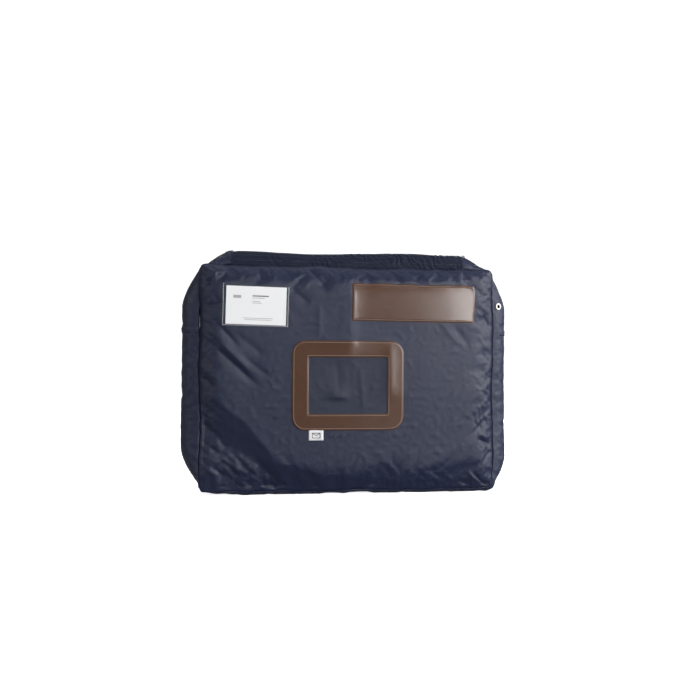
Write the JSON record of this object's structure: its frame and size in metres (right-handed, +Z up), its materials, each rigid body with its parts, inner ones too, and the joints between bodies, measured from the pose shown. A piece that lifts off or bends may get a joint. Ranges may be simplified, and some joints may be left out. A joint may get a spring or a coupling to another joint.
{
  "type": "mail sack",
  "caption": "Upright gusseted cloth sack with a full-width top zip, a framed address window, a writing patch, a clear card pocket and a metal seal eyelet.",
  "frame": {"origin": "on the floor under the middle of the sack", "axes": "+Z up, -Y the front with the window, +X the sack's side with the eyelet, which is on the right seen from the front"},
  "size_m": [0.484, 0.0879, 0.3554],
  "materials": {
    "navy_cloth": "coated nylon with a slight sheen",
    "strip_cloth": "ribbed and matt",
    "zip_tape": "woven, matt",
    "zip_coil": "satin",
    "navy_thread": "matt",
    "leatherette": "glossy grained coating",
    "brown_thread": "matt",
    "clear_film": "clear, glossy",
    "pocket_film": "clear, glossy",
    "white_thread": "matt",
    "card_stock": "smooth uncoated card",
    "label_tape": "woven, matt",
    "nickel": "bright nickel plate"
  },
  "bodies": {
    "sack": {"front_panel": "navy_cloth", "rear_panel": "navy_cloth", "gusset_band": "navy_cloth", "left_end_panel": "navy_cloth", "right_end_panel": "navy_cloth", "left_zip_end": "zip_tape", "right_zip_end": "zip_tape", "left_end_tab": "navy_cloth", "right_end_tab": "navy_cloth", "open_end_stop": "nickel", "closed_end_stops": "nickel", "front_seam_binding": "zip_tape", "rear_seam_binding": "zip_tape", "cross_stitching": "navy_thread", "window_frame": "leatherette", "window_film": "clear_film", "frame_stitching": "brown_thread", "writing_patch": "leatherette", "patch_stitching": "brown_thread", "card_pocket": "pocket_film", "pocket_stitching": "white_thread", "maker_label": "label_tape", "eyelet": "nickel", "eyelet_washer": "nickel"},
    "front_lip": {"front_strip": "strip_cloth", "front_tape": "zip_tape", "front_coil": "zip_coil", "front_strip_stitching": "navy_thread"},
    "rear_lip": {"rear_tape": "zip_tape", "rear_coil": "zip_coil", "rear_tape_stitching": "navy_thread"},
    "slider": {"zip_slider": "nickel"},
    "pull": {"pull_tab": "nickel"},
    "card": {"business_card": "card_stock"}
  },
  "joints": [
    {"name": "zip_slide", "type": "slide", "parent": "sack", "child": "slider", "axis": [-1, 0, 0], "range_m": [0, 0.312]},
    {"name": "pull_swing", "type": "hinge", "parent": "slider", "child": "pull", "pos_m": [0.156, 0.01539, 0.35282], "axis": [0, -0.829, 0.5592], "range_deg": [0, 170]},
    {"name": "front_lip_open", "type": "hinge", "parent": "sack", "child": "front_lip", "pos_m": [0, -0.023, 0.33], "axis": [1, 0, 0], "range_deg": [0, 75]},
    {"name": "rear_lip_open", "type": "hinge", "parent": "sack", "child": "rear_lip", "pos_m": [0, 0.023, 0.33], "axis": [-1, 0, 0], "range_deg": [0, 70]},
    {"name": "card_slide", "type": "slide", "parent": "sack", "child": "card", "axis": [0, 0, 1], "range_m": [0, 0.06]}
  ],
  "couplings": [
    {"joint": "rear_lip_open", "follows": "front_lip_open", "ratio": 0.93333}
  ]
}
